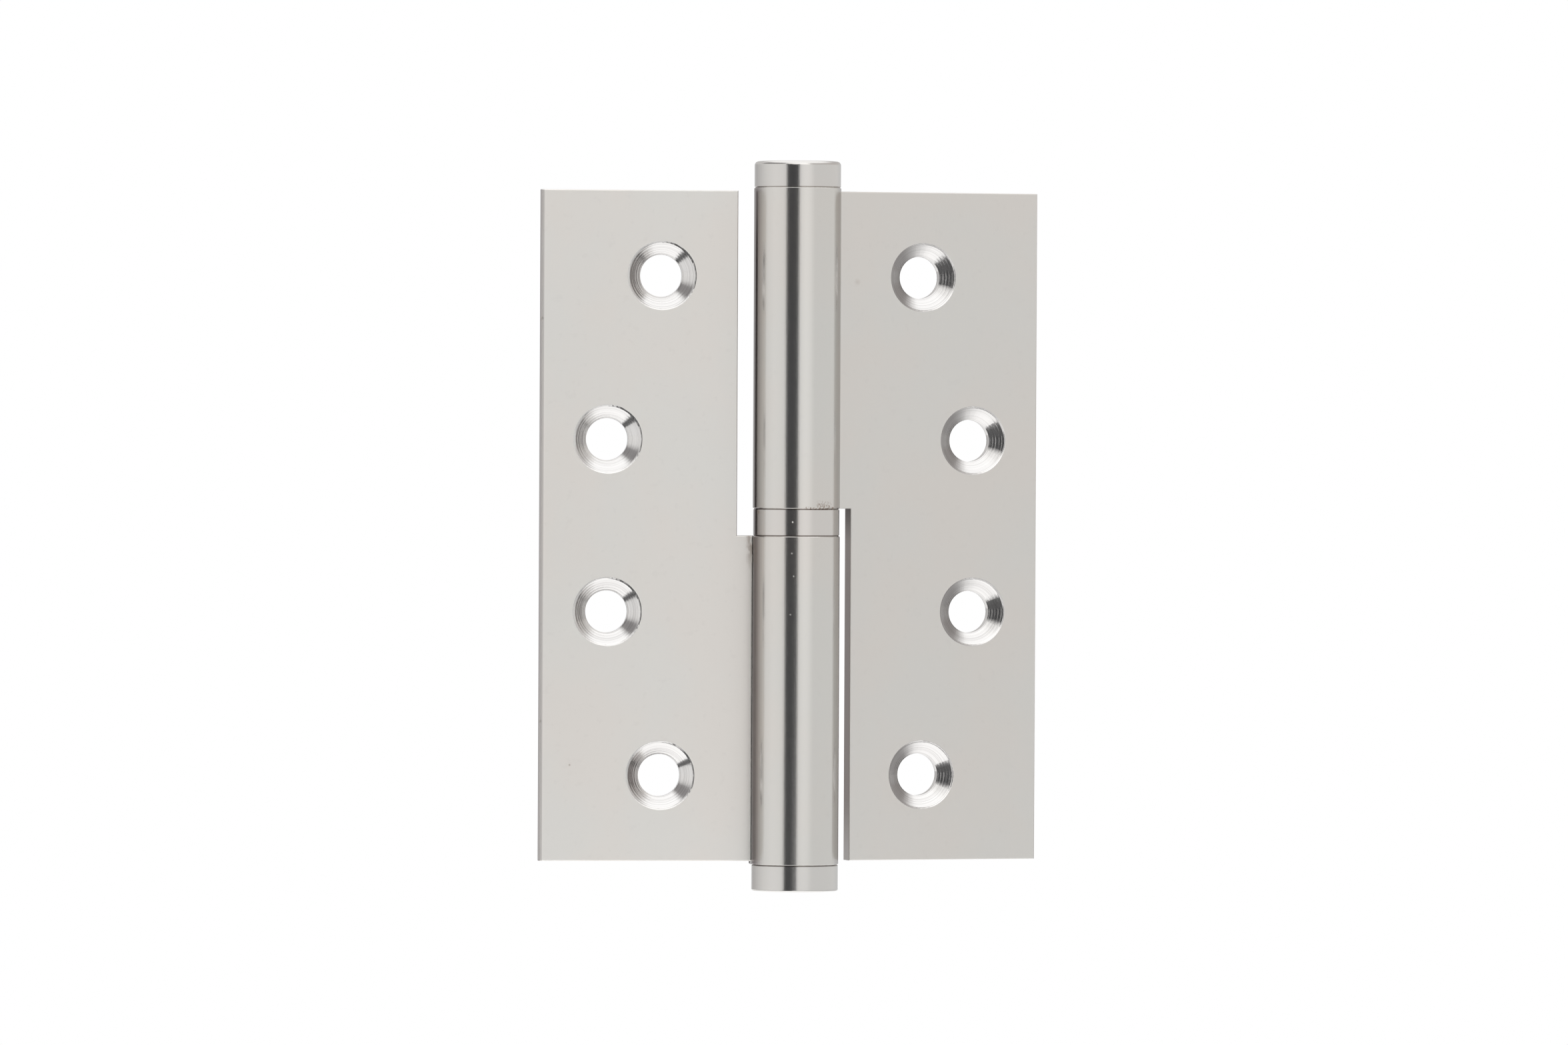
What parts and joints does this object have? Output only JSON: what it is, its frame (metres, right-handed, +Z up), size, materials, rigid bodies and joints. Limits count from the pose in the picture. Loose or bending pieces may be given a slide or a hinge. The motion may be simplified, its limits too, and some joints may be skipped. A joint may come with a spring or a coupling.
{
  "type": "lift off hinge",
  "caption": "Lift-off butt hinge with rolled knuckles, a fixed pin leaf, a removable leaf, a bearing ring and turned tips; satin metal.",
  "frame": {"origin": "on the pin axis, at mid-height of the leaves", "axes": "+Z up along the pin, from the fixed knuckle to the lift-off knuckle; +Y out of the pin leaf's back face, into the frame that it is screwed to; +X from the pin leaf towards the lift-off leaf"},
  "size_m": [0.0754, 0.018, 0.1088],
  "materials": {
    "leaf_satin": "satin",
    "ring_satin": "satin",
    "tip_satin": "satin",
    "pin_bright": "ground"
  },
  "bodies": {
    "pin_side": {"pin_leaf": "leaf_satin", "hinge_pin": "pin_bright", "bottom_cap": "tip_satin"},
    "ring_side": {"bearing_ring": "ring_satin"},
    "lift_side": {"lift_leaf": "leaf_satin", "top_cap": "tip_satin"}
  },
  "joints": [
    {"name": "swing", "type": "hinge", "parent": "pin_side", "child": "ring_side", "pos_m": [0, 0, 0], "axis": [0, 0, 1], "range_deg": [-192, 118]},
    {"name": "lift", "type": "slide", "parent": "ring_side", "child": "lift_side", "axis": [0, 0, 1], "range_m": [0, 0.04]}
  ]
}
